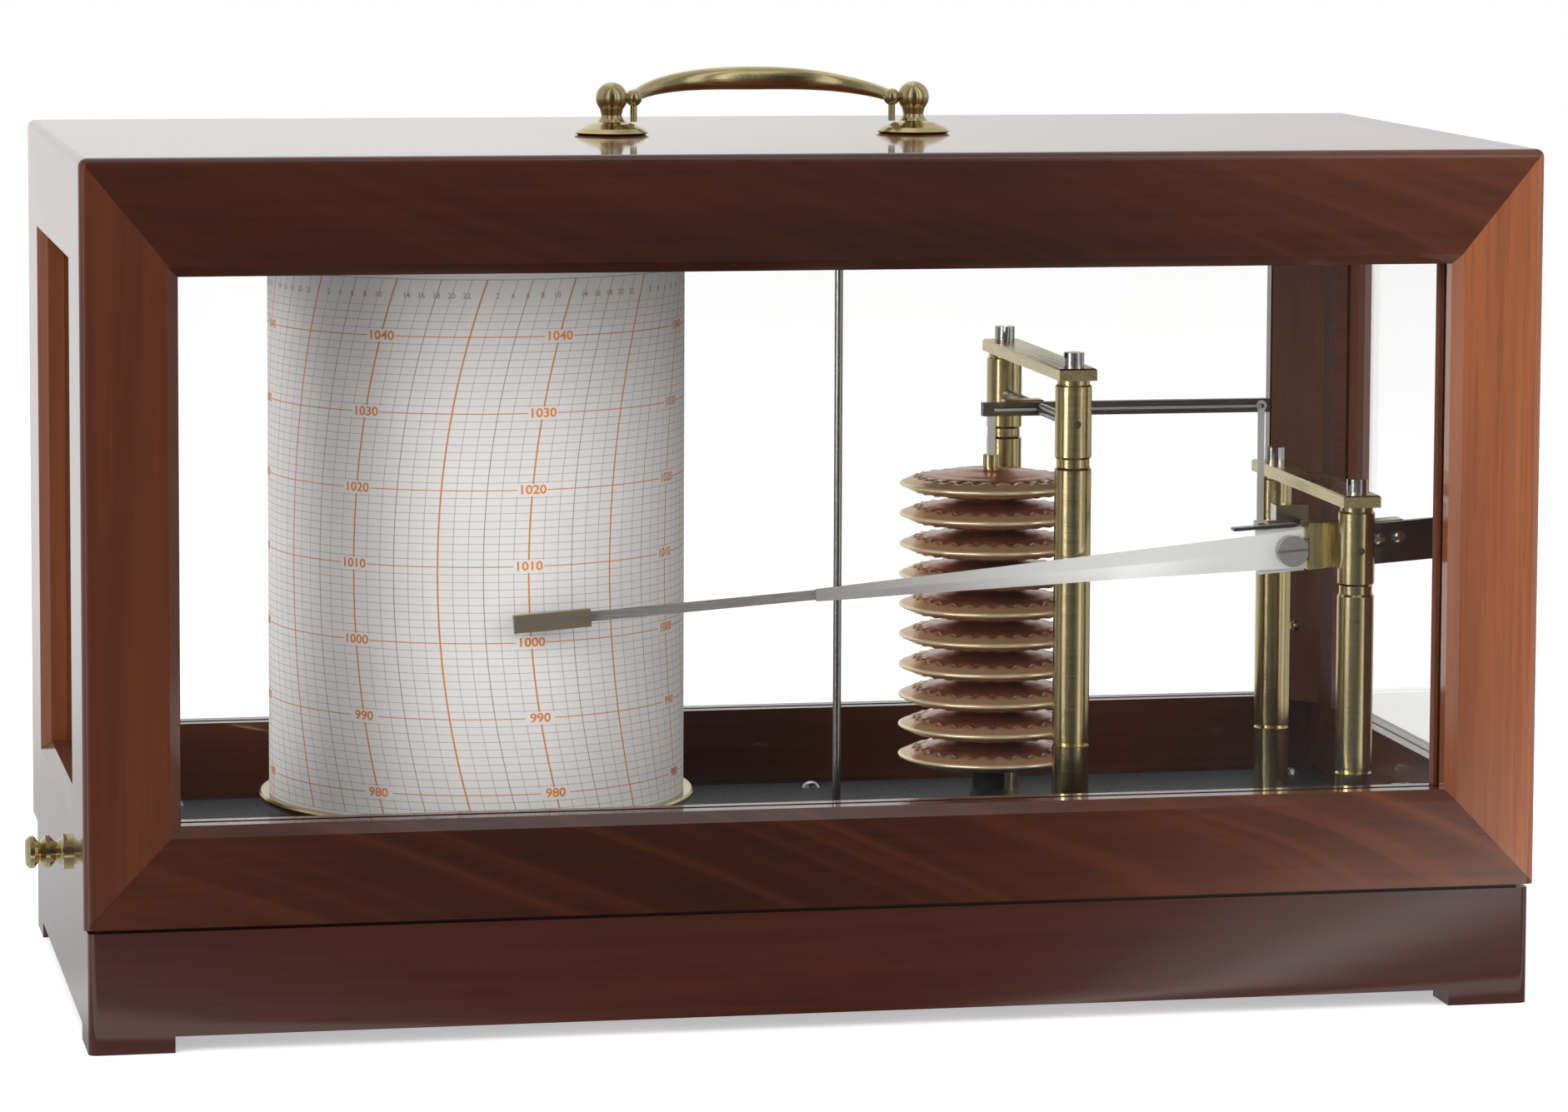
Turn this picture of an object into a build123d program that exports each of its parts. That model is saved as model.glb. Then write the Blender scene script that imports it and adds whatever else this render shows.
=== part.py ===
from build123d import *
import os
from math import atan2, degrees

# Barograph: a stack of aneroid capsules, its lever train and a clockwork chart drum
# on a wooden base, under a glazed wooden hood with a carrying handle.
# Millimetres. X runs along the front, Y to the back, Z up.
# The origin is the centre of the footprint, on the table.

# Hood and base
base_height = 29.5
wall = 12.5
arris = 2.0

# Room that the hood leaves round the instrument
room_left_of_drum = 37.7
room_right_of_posts = 21.7
room_before_posts = 9.0
room_behind_drum = 13.7
room_above_spindle = 9.0

# Faces of the hood's frames, and the glass in them
stile_width = 20.0
top_rail_height = 25.0
bottom_rail_height = 21.0
window_bevel = 2.5
glass_lip = 6.5
glass_thickness = 3.0
glass_rebate = 3.5
glass_clearance = 0.3
top_board_thickness = 8.0
batten_leg = 11.0
batten_clearance_top = 1.0
batten_rise = 2.0
batten_screw_inset = 20.0
batten_screw_head = 3.2
batten_screw_shank = 1.6
batten_screw_length = 4.0

# Base
base_inset = 1.0
skirt_thickness = 12.5
foot_length = 20.0
foot_height = 3.9
shadow_gap_height = 1.0
shadow_gap_depth = 2.5
board_bottom_z = 16.0
board_rise = 5.0
plate_thickness = 3.5
plate_gap_left = 14.5
plate_gap_right = 10.0
plate_gap_front = 4.5
plate_behind_drum_axis = 39.0
plate_corner = 4.0
plate_screw_inset_x = 5.0
plate_screw_inset_y = 7.0
plate_screw_from_drum = 91.0
plate_screw_head = 5.0
plate_screw_shank = 2.4

# Handle on the top board
handle_span = 76.0
handle_pivot_rise = 9.0
handle_ball = 7.8
handle_neck = 5.8
rosette_diameter = 18.6
rosette_height = 3.2
bail_depth = 17.5
bail_middle = 5.8
bail_end = 2.8
bail_bead = 4.2
bail_bead_gap = 1.6
bail_rest_angle = 13.2
bail_pin = 2.4
bail_pin_reach = 2.2
stop_leg = 1.7
handle_stud = 4.0
handle_nut_height = 3.0
handle_nut_flats = 7.0

# Thumbscrews that lock the hood to the base
thumbscrew_from_front = 35.5
thumbscrew_rise = 10.5
thumbscrew_pin = 4.0
thumbscrew_head = 7.8
thumbscrew_reach = 10.0
thumbscrew_tip = 7.0
bush_diameter = 7.0
bush_flange = 8.6
catch_thickness = 5.0
catch_width = 14.0
catch_height = 11.5
catch_gap = 1.6
catch_slot = 5.0

# Bridges: two pairs of turned posts, each pair with a bar across the top
post_diameter = 9.0
post_neck = 8.0
post_neck_height = 1.2
post_groove = 0.45
bridge_span = 74.0
drum_behind_front_posts = 64.0
tall_bridge_behind_short = 16.5
lever_behind_tall_front = 35.5
lever_pivot_from_drum = 140.0
pen_pivot_from_drum = 207.3
post_above_bore = 10.7
bridge_bar_width = 9.4
bridge_bar_thickness = 3.0
bridge_screw_head = 5.1
bridge_screw_head_height = 3.6
bridge_screw_shank = 3.0
bridge_screw_grip = 7.0
front_slot_angle = 25.0
rear_slot_angle = 70.0
screw_slot = 0.9

# Arbors turn in the posts
arbor_diameter = 3.0
pivot_diameter = 1.7
pivot_clearance = 0.05
arbor_shake = 0.3
arbor_sink = 0.5

# Capsule stack
capsule_count = 10
capsule_diameter = 45.7
capsule_pitch = 7.58
capsule_boss = 6.5
capsule_web = 2.3
capsule_rim = 1.0
capsule_wave = 1.1
stack_foot_height = 10.74
stack_foot_diameter = 8.0
stack_foot_flange = 16.0
stem_diameter = 3.9
stem_height = 3.5
stem_pin_drop = 1.2
stem_slot_floor = 0.6
link_side_clearance = 0.1
stem_eye_clearance = 0.15

# Lever and its two links
lever_left_reach = 12.3
lever_right_reach = 57.0
lever_height = 3.4
lever_thickness = 2.4
lever_overhang = 2.4
fork_slot_length = 6.0
link_thickness = 0.6
short_link_length = 12.56
long_link_length = 30.4
short_link_width = 2.0
long_link_width = 1.7
eye_wall = 0.8
pin_overhang = 0.6
link_pin = 1.0
open_eye_clearance = 0.15
open_eye_travel = 0.8
hub_left = 9.5
hub_right = 2.5
hub_height = 7.0
hub_depth = 5.0

# Pen arm, seen along its own line and then tilted down to the left about the pen arbor
arm_tilt = 4.17
arm_behind_front_posts = 9.4
arm_plate_thickness = 0.8
arm_plate_right = 10.6
arm_plate_height_right = 9.2
arm_plate_height_left = 3.0
arm_fold_start = 24.0
arm_fold_full = 60.0
arm_fold_run = 11.0
arm_flat_end = 10.0
arm_fold = 0.22
arm_strip_height = 2.4
arm_strip_thickness = 0.5
arm_strip_overlap = 8.0
arm_reach = 206.8
arm_plate_share = 0.643
pen_holder_length = 18.6
pen_holder_height = 4.3
pen_holder_depth = 2.0
pen_groove = 0.5
strip_inset = 6.0
pen_nib_length = 2.4
pen_nib_width = 1.8
pen_nib_tip = 0.5
pen_gap = 0.3
clamp_left = 10.2
clamp_right = 14.7
clamp_height = 10.3
clamp_depth = 6.0
gate_reach = 6.3
gate_pin = 1.6
gate_knuckle = 3.2
gate_ear = 2.5
gate_leaf_length = 16.0
gate_leaf_thickness = 1.2
gate_leaf_height = 10.8
gate_relief = 0.5
arm_screw_reach = 14.1
arm_screw_head = 7.7
arm_screw_height = 3.0
arm_screw_shank = 2.0
counter_left = 3.0
counter_right = 23.0
counter_height = 10.0
counter_thickness = 2.0
counter_screw = 4.0
counter_screw_shank = 1.6
counter_screw_left = 7.5
counter_screw_right = 12.7
counter_screw_rise = 1.0
crank_hub_left = 6.0
crank_hub_right = 2.5
crank_hub_below = 2.5
crank_hub_above = 5.0
crank_hub_depth = 5.0
crank_finger = 2.4
crank_thickness = 1.6

# Chart drum
drum_radius = 51.0
drum_wall = 1.2
drum_bottom_rise = 5.8
drum_height = 140.2
drum_flange_radius = 53.8
drum_flange_thickness = 2.0
drum_top_thickness = 1.5
chart_thickness = 0.3
chart_height = 136.0
clip_thickness = 0.2
clip_width = 6.0
clip_angle = 70.0
clock_radius = 37.0
clock_height = 50.0
clock_bore = 9.0
spindle_diameter = 5.0
spindle_shoulder = 6.0
spindle_foot = 22.0
spindle_foot_height = 3.0
spindle_above_drum = 7.0
drum_nut_diameter = 14.0
drum_nut_height = 5.5
running_gap = 0.3

# Pen lifter: a cranked wire that pushes the arm off the chart
lifter_from_drum = 80.5
lifter_crank = 14.0
lifter_wire = 2.0
lifter_arm_gap = 0.5
lifter_foot_rise = 7.5
lifter_top_rise = 148.0
lifter_bend = 2.5
lifter_bush = 8.0
lifter_bush_flange = 1.5
lifter_bush_height = 4.0

# Levels that follow from the sizes above
board_top_z = base_height + board_rise
plate_top_z = board_top_z + plate_thickness
stack_bottom_z = plate_top_z + stack_foot_height
stack_top_z = stack_bottom_z + capsule_count * capsule_pitch
stem_pin_z = stack_top_z + stem_height - stem_pin_drop
lever_z = stem_pin_z + short_link_length
pen_z = lever_z - long_link_length
drum_bottom_z = plate_top_z + drum_bottom_rise
drum_top_z = drum_bottom_z + drum_height
spindle_top_z = drum_top_z + spindle_above_drum
hood_top_z = spindle_top_z + room_above_spindle + top_board_thickness
handle_pivot_z = hood_top_z + handle_pivot_rise

# The case is as large as the instrument and the room round it
post_radius = post_diameter / 2
inner_width = (room_left_of_drum + drum_flange_radius + pen_pivot_from_drum + post_radius
               + room_right_of_posts)
inner_depth = (room_before_posts + post_radius + drum_behind_front_posts + drum_flange_radius
               + room_behind_drum)
inner_half_width = inner_width / 2
inner_half_depth = inner_depth / 2
half_width = inner_half_width + wall
half_depth = inner_half_depth + wall
case_width = 2 * half_width
case_depth = 2 * half_depth

# Places that follow from the case and the sizes above
drum_x = room_left_of_drum + drum_flange_radius - inner_half_width
tall_bridge_x = drum_x + lever_pivot_from_drum
short_bridge_x = drum_x + pen_pivot_from_drum
stack_x = tall_bridge_x - lever_left_reach
link_x = tall_bridge_x + lever_right_reach
post_front_y = room_before_posts + post_radius - inner_half_depth
drum_y = post_front_y + drum_behind_front_posts
tall_front_y = post_front_y + tall_bridge_behind_short
lever_y = tall_front_y + lever_behind_tall_front
long_link_y = lever_y - lever_thickness / 2 - link_side_clearance - link_thickness / 2
plate_left = plate_gap_left - inner_half_width
plate_right = inner_half_width - plate_gap_right
plate_front = plate_gap_front - inner_half_depth
plate_back = drum_y + plate_behind_drum_axis
thumbscrew_y = thumbscrew_from_front - inner_half_depth
chart_radius = drum_radius + chart_thickness
arm_y = post_front_y + arm_behind_front_posts
arm_plate_left = arm_plate_share * arm_reach
strip_y = arm_y + arm_plate_thickness / 2
arm_back_y = strip_y + arm_strip_thickness
gate_y = strip_y + gate_leaf_thickness / 2
clamp_front_y = arm_y - arm_plate_thickness / 2 - 1.0
lifter_x = drum_x + lifter_from_drum
lifter_y = arm_back_y + lifter_arm_gap + lifter_wire / 2
lifter_pivot_x = lifter_x + lifter_crank
bore = 2 * pivot_clearance

os.makedirs("parts", exist_ok=True)


def save(name, *solids):
    """Write one node; several solids in it stay separate."""
    shape = solids[0] if len(solids) == 1 else Compound(children=list(solids))
    export_step(shape, f"parts/{name}.step")


def box(x0, x1, y0, y1, z0, z1):
    """A box between two corners."""
    size = Box(abs(x1 - x0), abs(y1 - y0), abs(z1 - z0))
    return Pos((x0 + x1) / 2, (y0 + y1) / 2, (z0 + z1) / 2) * size


def upright(diameter, z0, z1, x=0.0, y=0.0):
    """A round bar standing along Z."""
    return Pos(x, y, (z0 + z1) / 2) * Cylinder(diameter / 2, z1 - z0)


def along_y(diameter, y0, y1, x, z):
    """A round bar lying along Y."""
    return Pos(x, (y0 + y1) / 2, z) * Rot(90, 0, 0) * Cylinder(diameter / 2, abs(y1 - y0))


def along_x(diameter, x0, x1, y, z):
    """A round bar lying along X."""
    return Pos((x0 + x1) / 2, y, z) * Rot(0, 90, 0) * Cylinder(diameter / 2, abs(x1 - x0))


def turned(points):
    """A solid turned about Z from (radius, z) points."""
    outline = make_face(Polyline([(r, 0, z) for r, z in points], close=True))
    return revolve(outline, Axis.Z)


def slotted_screw(head, head_height, shank, shank_length):
    """A cheese-head screw, its head standing on Z = 0 and its shank below."""
    screw = upright(head, 0, head_height) + upright(shank, -shank_length, 0)
    slot = box(-head, head, -screw_slot / 2, screw_slot / 2, head_height * 0.62, head_height + 1)
    return screw - slot


def domed_screw(head, shank, shank_length):
    """A round-head screw, its head standing on Z = 0 and its shank below."""
    rise = head * 0.32
    ball_radius = (head * head / 4 + rise * rise) / (2 * rise)
    dome = Pos(0, 0, rise - ball_radius) * Sphere(ball_radius)
    dome = dome & box(-head, head, -head, head, 0, head)
    slot = box(-head, head, -screw_slot / 2, screw_slot / 2, rise * 0.45, rise + 1)
    return dome - slot + upright(shank, -shank_length, 0)


# Hood frames


def window_cut(width, height):
    """The opening of one frame about its centre, with its outer face at Y = 0 and Y inwards."""
    clear_w = width - 2 * window_bevel
    clear_h = height - 2 * window_bevel
    through = Pos(0, wall / 2, 0) * Box(clear_w, wall * 2, clear_h)
    rebate_depth = wall - glass_lip
    rebate = Pos(0, glass_lip + rebate_depth, 0) * Box(
        clear_w + 2 * glass_rebate, 2 * rebate_depth, clear_h + 2 * glass_rebate)
    outer = Plane.XZ * Rectangle(width, height)
    inner = Plane.XZ.offset(-window_bevel) * Rectangle(clear_w, clear_h)
    return through + rebate + loft([outer, inner])


def member_prisms(width):
    """The four mitred members of a frame as (name, prism), about X = 0 with Y from 0 to the wall."""
    side = stile_width + window_bevel
    low = base_height + bottom_rail_height + window_bevel
    high = hood_top_z - top_rail_height - window_bevel
    w = width / 2
    outlines = {
        "top": [(-w, hood_top_z), (w, hood_top_z), (w - side, high), (side - w, high)],
        "bottom": [(-w, base_height), (w, base_height), (w - side, low), (side - w, low)],
        "left": [(-w, base_height), (-w, hood_top_z), (side - w, high), (side - w, low)],
        "right": [(w, base_height), (w, hood_top_z), (w - side, high), (w - side, low)],
    }
    prisms = {}
    for name, points in outlines.items():
        face = make_face(Polyline([(x, 0, z) for x, z in points], close=True))
        prisms[name] = extrude(face, amount=wall, dir=(0, 1, 0))
    return prisms


def wall_places():
    """Each wall's name, the width of its frame and where its outer face's middle lies."""
    return {
        "front": (case_width, Pos(0, -half_depth, 0)),
        "rear": (case_width, Pos(0, half_depth, 0) * Rot(0, 0, 180)),
        "left": (inner_depth, Pos(-half_width, 0, 0) * Rot(0, 0, -90)),
        "right": (inner_depth, Pos(half_width, 0, 0) * Rot(0, 0, 90)),
    }


def window_middle():
    """Height and middle level of every window, to its outer lip."""
    low = base_height + bottom_rail_height
    high = hood_top_z - top_rail_height
    return high - low, (high + low) / 2


def hood_block():
    """The hood's outside as one block, with its arrises rounded."""
    block = box(-half_width, half_width, -half_depth, half_depth, base_height, hood_top_z)
    soft = block.edges().filter_by(Axis.Z) + block.faces().sort_by(Axis.Z)[-1].edges()
    return fillet(soft, arris)


def make_frames():
    """Mitred rails and stiles of the four walls, with the thumbscrews' holes in the side rails."""
    block = hood_block()
    height, middle = window_middle()
    end_rails = []
    end_stiles = []
    for name, (width, place) in wall_places().items():
        cut = place * Pos(0, 0, middle) * window_cut(width - 2 * stile_width, height)
        members = {}
        for part, prism in member_prisms(width).items():
            members[part] = (block & (place * prism)) - cut
        if name in ("left", "right"):
            hole_z = base_height + thumbscrew_rise
            hole = along_x(bush_diameter, -case_width, case_width, thumbscrew_y, hole_z)
            members["bottom"] = members["bottom"] - hole
            end_rails += [members["top"], members["bottom"]]
            end_stiles += [members["left"], members["right"]]
        else:
            save(f"hood_{name}_rails", members["top"], members["bottom"])
            save(f"hood_{name}_stiles", members["left"], members["right"])
    save("hood_end_rails", *end_rails)
    save("hood_end_stiles", *end_stiles)


def make_glass():
    """One pane in each frame's rebate, and the beads that hold it there."""
    height, middle = window_middle()
    beads = []
    panes = {}
    for name, (width, place) in wall_places().items():
        rebate_w = width - 2 * (stile_width + window_bevel - glass_rebate)
        rebate_h = height - 2 * (window_bevel - glass_rebate)
        pane_w = rebate_w - 2 * glass_clearance
        pane_h = rebate_h - 2 * glass_clearance
        pane_y = glass_lip + glass_thickness / 2
        panes[name] = place * Pos(0, pane_y, middle) * Box(pane_w, glass_thickness, pane_h)
        bead_depth = wall - glass_lip - glass_thickness
        bead_y = wall - bead_depth / 2
        for side in (-1, 1):
            across = Pos(0, bead_y, middle + side * (rebate_h - glass_rebate) / 2)
            beads.append(place * across * Box(rebate_w, bead_depth, glass_rebate))
            along = Pos(side * (rebate_w - glass_rebate) / 2, bead_y, middle)
            beads.append(place * along * Box(glass_rebate, bead_depth, rebate_h - 2 * glass_rebate))
    save("front_glass", panes["front"])
    save("rear_glass", panes["rear"])
    save("end_glass", panes["left"], panes["right"])
    save("glazing_beads", *beads)


def make_battens():
    """Three-sided battens in the hood's inner corners, each held by two screws."""
    low = base_height + bottom_rail_height + batten_rise
    high = hood_top_z - top_board_thickness - batten_clearance_top
    screw = Rot(0, 90, 0) * domed_screw(batten_screw_head, batten_screw_shank, batten_screw_length)
    battens = []
    screws = []
    for sx in (-1, 1):
        for sy in (-1, 1):
            corner = Pos(sx * inner_half_width, sy * inner_half_depth, 0)
            points = [(0, 0, low), (-sx * batten_leg, 0, low), (0, -sy * batten_leg, low)]
            batten = extrude(make_face(Polyline(points, close=True)), amount=high - low, dir=(0, 0, 1))
            facing = Rot(0, 0, degrees(atan2(-sy, -sx)))
            batten = corner * batten
            for level in (low + batten_screw_inset, high - batten_screw_inset):
                spot = corner * Pos(-sx * batten_leg / 2, -sy * batten_leg / 2, level) * facing
                batten = batten - spot * along_x(batten_screw_shank, -batten_screw_length, 1, 0, 0)
                screws.append(spot * screw)
            battens.append(batten)
    save("corner_battens", *battens)
    save("batten_screws", *screws)


def make_top():
    """The top board, let in flush between the four top rails."""
    board = box(-inner_half_width, inner_half_width, -inner_half_depth, inner_half_depth,
                hood_top_z - top_board_thickness, hood_top_z)
    for side in (-1, 1):
        board = board - upright(handle_stud, 0, hood_top_z + 1, side * handle_span / 2)
    save("top_board", board)


# Handle


def handle_post():
    """Rosette, neck and ball turned in one, with the stud that goes through the board."""
    rosette_r = rosette_diameter / 2
    neck_r = handle_neck / 2
    stud_end = -top_board_thickness - handle_nut_height
    ball_seat = handle_pivot_rise - handle_ball / 3
    profile = [(0, stud_end), (handle_stud / 2, stud_end), (handle_stud / 2, 0), (rosette_r - 1.0, 0),
               (rosette_r, 0.6), (rosette_r - 1.6, 1.6), (neck_r + 2.4, rosette_height - 0.5),
               (neck_r + 0.6, rosette_height), (neck_r, rosette_height + 0.7),
               (neck_r - 0.4, rosette_height + 1.6), (neck_r, ball_seat), (0, ball_seat)]
    ball = Pos(0, 0, handle_pivot_rise) * Sphere(handle_ball / 2)
    return turned(profile) + ball


def bail_point(u):
    """Depth of the bail's centre line at u, from -1 at one end to 1 at the other."""
    return bail_depth * (1 - abs(u) ** 2.6) ** 0.8


def handle_bail():
    """The swinging bail, thick in the middle, with end beads, pivot pins and stop legs."""
    reach = handle_span / 2 - handle_ball / 2 - bail_bead_gap
    stations = [-1, -0.93, -0.8, -0.6, -0.3, 0, 0.3, 0.6, 0.8, 0.93, 1]
    points = [Vector(u * reach, bail_point(u), 0) for u in stations]
    path = Spline(points)
    sections = []
    for u, point in zip(stations, points):
        size = bail_end + (bail_middle - bail_end) * (1 - abs(u) ** 1.8)
        along = path.tangent_at(path.param_at_point(point))
        sections.append(Plane(origin=point, z_dir=along) * Circle(size / 2))
    bow = loft(sections)
    bow = Rot(bail_rest_angle, 0, 0) * bow
    leg_bottom = -handle_pivot_rise + rosette_height - 0.4 + running_gap
    for side in (-1, 1):
        end = side * reach
        bow = bow + Pos(end, 0, 0) * Sphere(bail_bead / 2)
        pin_end = side * (handle_span / 2 - handle_ball / 2 + bail_pin_reach)
        bow = bow + along_x(bail_pin, end, pin_end, 0, 0)
        bow = bow + upright(stop_leg, leg_bottom, 0, end)
    return Pos(0, 0, handle_pivot_z) * bow


def make_handle():
    """Two posts, their nuts under the board, and the bail between them."""
    posts = []
    nuts = []
    for side in (-1, 1):
        post = Pos(side * handle_span / 2, 0, hood_top_z) * handle_post()
        pin_start = handle_span / 2 - handle_ball
        pin_end = handle_span / 2 - handle_ball / 2 + bail_pin_reach + running_gap
        socket = along_x(bail_pin + bore, side * pin_start, side * pin_end, 0, handle_pivot_z)
        posts.append(post - socket)
        nut_z = hood_top_z - top_board_thickness - handle_nut_height
        nut = extrude(RegularPolygon(handle_nut_flats / 2, 6, major_radius=False), amount=handle_nut_height)
        nuts.append(Pos(side * handle_span / 2, 0, nut_z) * nut - post)
    save("handle_posts", *posts)
    save("handle_nuts", *nuts)
    save("handle_bail", handle_bail())


# Thumbscrews


def thumbscrew():
    """A turned knob on a pin, along +X from the hood's outer face at X = 0 inwards."""
    r = thumbscrew_head / 2
    pin_r = thumbscrew_pin / 2
    tip_start = wall + 1.0 + catch_gap + catch_thickness + running_gap
    profile = [(0, -thumbscrew_reach), (r * 0.78, -thumbscrew_reach), (r, -thumbscrew_reach + 0.9),
               (r, -thumbscrew_reach + 1.9), (r * 0.62, -thumbscrew_reach + 3.0),
               (r * 0.62, -thumbscrew_reach + 3.4), (r * 0.98, -thumbscrew_reach + 4.6),
               (r * 0.98, -thumbscrew_reach + 5.6), (r * 0.6, -thumbscrew_reach + 7.0),
               (r * 0.6, -thumbscrew_reach + 7.3), (r * 0.85, -1.5), (pin_r, -1.5),
               (pin_r, tip_start), (thumbscrew_tip / 2, tip_start), (thumbscrew_tip / 2, tip_start + 1.5),
               (0, tip_start + 1.5)]
    return Rot(0, 90, 0) * turned(profile)


def make_thumbscrews():
    """A thumbscrew, its bush and its catch on each side."""
    z = base_height + thumbscrew_rise
    bushes = []
    catches = []
    for name, side in (("left", -1), ("right", 1)):
        place = Pos(side * half_width, thumbscrew_y, z) * Rot(0, 0, 0 if side < 0 else 180)
        save(f"{name}_thumbscrew", place * thumbscrew())
        tube = along_x(bush_diameter, 0, wall, 0, 0) + along_x(bush_flange, -1.2, 0, 0, 0)
        tube = tube - along_x(thumbscrew_pin + bore, -2, wall + 1, 0, 0)
        bushes.append(place * tube)
        catch_x = inner_half_width - 1.0 - catch_gap
        block = box(side * catch_x, side * (catch_x - catch_thickness), thumbscrew_y - catch_width / 2,
                    thumbscrew_y + catch_width / 2, board_top_z, board_top_z + catch_height)
        slot = along_x(catch_slot, -case_width, case_width, thumbscrew_y, z)
        slot = slot + box(-case_width, case_width, thumbscrew_y - catch_slot / 2,
                          thumbscrew_y + catch_slot / 2, z, z + catch_height)
        catches.append(block - slot)
    save("thumbscrew_bushes", *bushes)
    save("hood_catches", *catches)


# Base


def base_block():
    """The base's outside with its feet, cut-outs and the shadow gap under the hood."""
    w = half_width - base_inset
    d = half_depth - base_inset
    block = box(-w, w, -d, d, 0, base_height)
    block = fillet(block.edges().filter_by(Axis.Z), arris)
    for length, depth in ((2 * (w - foot_length), case_depth), (case_width, 2 * (d - foot_length))):
        cut = box(-length / 2, length / 2, -depth / 2, depth / 2, -foot_height, foot_height)
        block = block - cut
    ring = box(-w - 1, w + 1, -d - 1, d + 1, base_height - shadow_gap_height, base_height + 1)
    core = box(-w + shadow_gap_depth, w - shadow_gap_depth, -d + shadow_gap_depth, d - shadow_gap_depth,
               0, base_height + 2)
    return block - (ring - core)


def make_base():
    """Four mitred skirt boards and the base board that they frame."""
    w = half_width - base_inset
    d = half_depth - base_inset
    t = skirt_thickness
    block = base_block()
    outlines = {
        "front": [(-w, -d), (w, -d), (w - t, t - d), (t - w, t - d)],
        "rear": [(-w, d), (w, d), (w - t, d - t), (t - w, d - t)],
        "left": [(-w, -d), (-w, d), (t - w, d - t), (t - w, t - d)],
        "right": [(w, -d), (w, d), (w - t, d - t), (w - t, t - d)],
    }
    boards = {}
    for name, points in outlines.items():
        face = make_face(Polyline([(x, y, 0) for x, y in points], close=True))
        boards[name] = block & extrude(face, amount=base_height, dir=(0, 0, 1))
    save("base_long_boards", boards["front"], boards["rear"])
    save("base_end_boards", boards["left"], boards["right"])
    save("base_board", box(t - w, w - t, t - d, d - t, board_bottom_z, board_top_z))


def plate_screw_spots():
    """Where the instrument plate's screws stand."""
    spots = []
    for y in (plate_front + plate_screw_inset_y, plate_back - plate_screw_inset_y):
        for x in (plate_left + plate_screw_inset_x, drum_x + plate_screw_from_drum,
                  plate_right - plate_screw_inset_x):
            spots.append((x, y))
    return spots


def make_plate():
    """The metal plate that carries the whole instrument, and its screws."""
    plate = box(plate_left, plate_right, plate_front, plate_back, board_top_z, plate_top_z)
    plate = fillet(plate.edges().filter_by(Axis.Z), plate_corner)
    screw = domed_screw(plate_screw_head, plate_screw_shank, plate_thickness)
    screws = []
    for x, y in plate_screw_spots():
        screws.append(Pos(x, y, plate_top_z) * screw)
        plate = plate - upright(plate_screw_shank, 0, plate_top_z + 1, x, y)
    save("instrument_plate", plate)
    save("plate_screws", *screws)


# Bridges


def post(bore_z):
    """A turned post standing on Z = 0, with a neck, two grooves and the hole its arbor turns in."""
    r = post_radius
    height = bore_z + post_above_bore
    cut = post_groove
    lower = height * 0.2
    waist = bore_z - 9.8
    profile = [(0, 0), (r, 0), (r, lower - cut), (r - cut, lower), (r, lower + cut),
               (r, waist - 1.6), (r - cut, waist - 1.0), (r - cut, waist + 1.0), (r, waist + 1.6),
               (r, height - post_neck_height - post_groove), (post_neck / 2, height - post_neck_height),
               (post_neck / 2, height), (0, height)]
    body = turned(profile)
    body = body - upright(bridge_screw_shank, height - bridge_screw_grip - 1, height + 1)
    return body - along_y(pivot_diameter + bore, -post_diameter, post_diameter, 0, bore_z)


def bridge_bar():
    """The flat bar across a pair of posts, from Z = 0 up and back from Y = 0, with its screw holes."""
    end = post_radius + 0.4
    bar = box(-bridge_bar_width / 2, bridge_bar_width / 2, -end, bridge_span + end, 0, bridge_bar_thickness)
    bar = chamfer(bar.faces().sort_by(Axis.Z)[-1].edges(), 0.4)
    for y in (0, bridge_span):
        bar = bar - upright(bridge_screw_shank, -1, bridge_bar_thickness + 1, 0, y)
    return bar


def make_bridges():
    """Both bridges: posts, bars and the screws that hold the bars down."""
    screw = slotted_screw(bridge_screw_head, bridge_screw_head_height, bridge_screw_shank,
                          bridge_bar_thickness + bridge_screw_grip)
    screws = []
    for name, x, front_y, bore_z in (("tall", tall_bridge_x, tall_front_y, lever_z),
                                     ("short", short_bridge_x, post_front_y, pen_z)):
        bar_z = bore_z + post_above_bore
        posts = []
        for y, turn in ((front_y, front_slot_angle), (front_y + bridge_span, rear_slot_angle)):
            posts.append(Pos(x, y, plate_top_z) * post(bore_z - plate_top_z))
            screws.append(Pos(x, y, bar_z + bridge_bar_thickness) * Rot(0, 0, turn) * screw)
        save(f"{name}_bridge_posts", *posts)
        save(f"{name}_bridge_bar", Pos(x, front_y, bar_z) * bridge_bar())
    save("bridge_screws", *screws)


def arbor(x, front_y, z):
    """A shaft between a bridge's posts, with a thin pivot in each post's hole."""
    back_y = front_y + bridge_span
    shoulder = post_radius + arbor_shake
    reach = post_radius - arbor_sink
    body = along_y(arbor_diameter, front_y + shoulder, back_y - shoulder, x, z)
    return body + along_y(pivot_diameter, front_y - reach, back_y + reach, x, z)


# Capsule stack


def capsule():
    """One sealed capsule of two corrugated discs, its middle at Z = 0."""
    outer = capsule_diameter / 2
    boss = capsule_boss / 2
    half = capsule_pitch / 2
    web = capsule_web
    rings = 4
    band = (outer - 1.4 - boss) / rings
    top = [(0, half), (boss, half), (boss, web - capsule_wave)]
    for ring in range(rings):
        crest = boss + band * (ring + 0.5)
        valley = boss + band * (ring + 1)
        fall = 0.28 * ring
        top.append((crest, web - fall))
        top.append((valley, web - capsule_wave - fall))
    top.append((outer - 0.5, capsule_rim / 2 + 0.4))
    top.append((outer, capsule_rim / 2))
    bottom = [(r, -z) for r, z in reversed(top)]
    return turned(top + bottom)


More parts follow.
